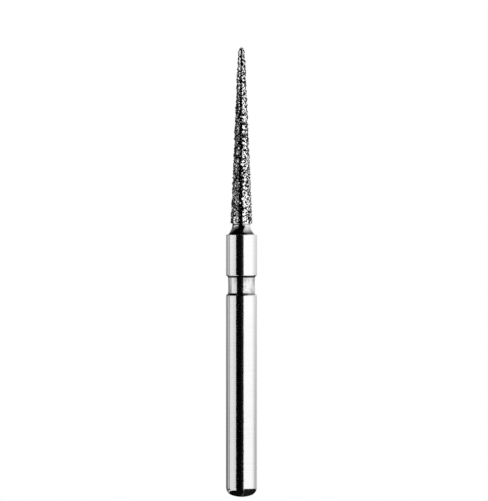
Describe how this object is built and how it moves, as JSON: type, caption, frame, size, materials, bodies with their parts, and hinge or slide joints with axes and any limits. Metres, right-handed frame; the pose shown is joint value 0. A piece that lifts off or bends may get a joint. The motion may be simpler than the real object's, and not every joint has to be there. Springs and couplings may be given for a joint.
{
  "type": "dental bur",
  "caption": "Needle-shaped diamond dental bur: a slim tapered grit-coated head on a hollow neck, collar, narrow groove and plain round-ended shank.",
  "frame": {"origin": "lowest point of the shank's rounded end, on the axis", "axes": "+Z along the bur's axis from the shank to the tip; the bur is round, so +X and +Y are any two directions across it"},
  "size_m": [0.0016, 0.0016, 0.0233],
  "materials": {
    "ground_steel": "bright stainless steel, ground fine round the axis",
    "diamond_grit": "coarse faceted diamond grit held in plated nickel, dark grey with bright glints"
  },
  "bodies": {
    "root": {"steel_blank": "ground_steel", "diamond_coat": "diamond_grit"}
  },
  "joints": []
}
